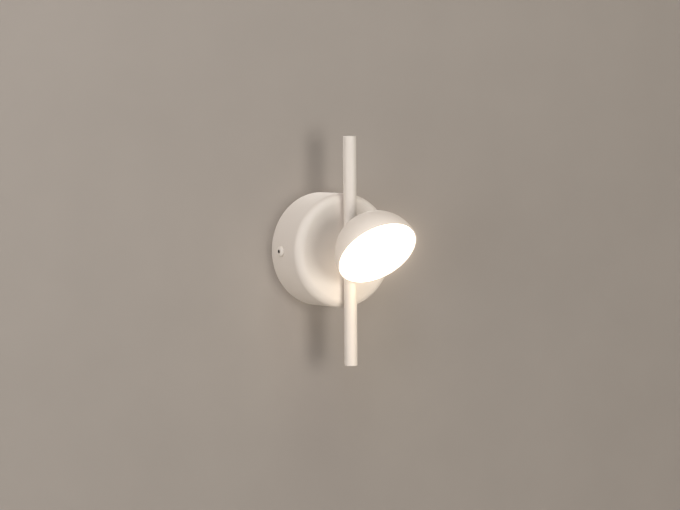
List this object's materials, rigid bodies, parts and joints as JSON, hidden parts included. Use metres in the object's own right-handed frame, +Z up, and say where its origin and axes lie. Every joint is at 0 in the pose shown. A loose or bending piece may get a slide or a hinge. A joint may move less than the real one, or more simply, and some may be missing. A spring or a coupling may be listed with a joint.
{
  "type": "wall light",
  "caption": "Wall spotlight with a round canopy, a slim vertical rod and a half-dome head with an opal disc that tilts and swivels on a hollow neck.",
  "frame": {"origin": "centre of the bracket's back on the wall, on the neck's axis", "axes": "+Z up along the rod, +Y into the wall, +X to the right for someone who faces the light"},
  "size_m": [0.1046, 0.1171, 0.2],
  "materials": {
    "coat": "matt warm white powder coat",
    "zinc_steel": "zinc plated",
    "acetal": "natural acetal",
    "grommet_rubber": "matt black",
    "driver_plastic": "fine grain white",
    "circuit_green": "solder mask",
    "component_black": "moulded",
    "terminal_plastic": "moulded",
    "mains_wire": "wire insulation",
    "earth_wire": "wire insulation",
    "lamp_wire": "silicone insulation",
    "bare_aluminium": "as rolled",
    "board_white": "white solder mask",
    "phosphor": "phosphor in resin",
    "reflector_white": "white",
    "opal": "opal, lit from behind"
  },
  "bodies": {
    "base": {"cable_grommet": "grommet_rubber", "canopy_cover": "coat", "cover_screws": "coat", "driver_board": "circuit_green", "driver_case": "driver_plastic", "driver_lid": "driver_plastic", "driver_parts": "component_black", "driver_screws": "zinc_steel", "earth_lead": "earth_wire", "earth_screw": "zinc_steel", "front_nut": "zinc_steel", "front_saddle": "acetal", "input_leads": "mains_wire", "lamp_lead": "lamp_wire", "neck_nut": "zinc_steel", "neck_tube": "zinc_steel", "neck_washer": "zinc_steel", "rear_saddle": "coat", "rod": "coat", "spring_washer": "zinc_steel", "stop_washer": "zinc_steel", "terminal_block": "terminal_plastic", "terminal_mount_screw": "zinc_steel", "terminal_screws": "zinc_steel", "wall_bracket": "zinc_steel"},
    "swivel": {"slot_shoe": "acetal"},
    "head": {"dome_shell": "coat", "heat_sink": "bare_aluminium", "heat_sink_screws": "zinc_steel", "led_board": "board_white", "board_screws": "zinc_steel", "led_chips": "phosphor", "board_connector": "board_white", "reflector_ring": "reflector_white", "diffuser": "opal", "head_lead": "lamp_wire"}
  },
  "joints": [
    {"name": "head_swivel", "type": "hinge", "parent": "base", "child": "swivel", "pos_m": [0, -0.092, 0], "axis": [0, 1, 0], "range_deg": [-170, 170], "deforming": ["head_lead"]},
    {"name": "head_tilt", "type": "hinge", "parent": "swivel", "child": "head", "pos_m": [0, -0.092, 0], "axis": [1, 0, 0], "range_deg": [-43, 2], "deforming": ["head_lead"]}
  ]
}
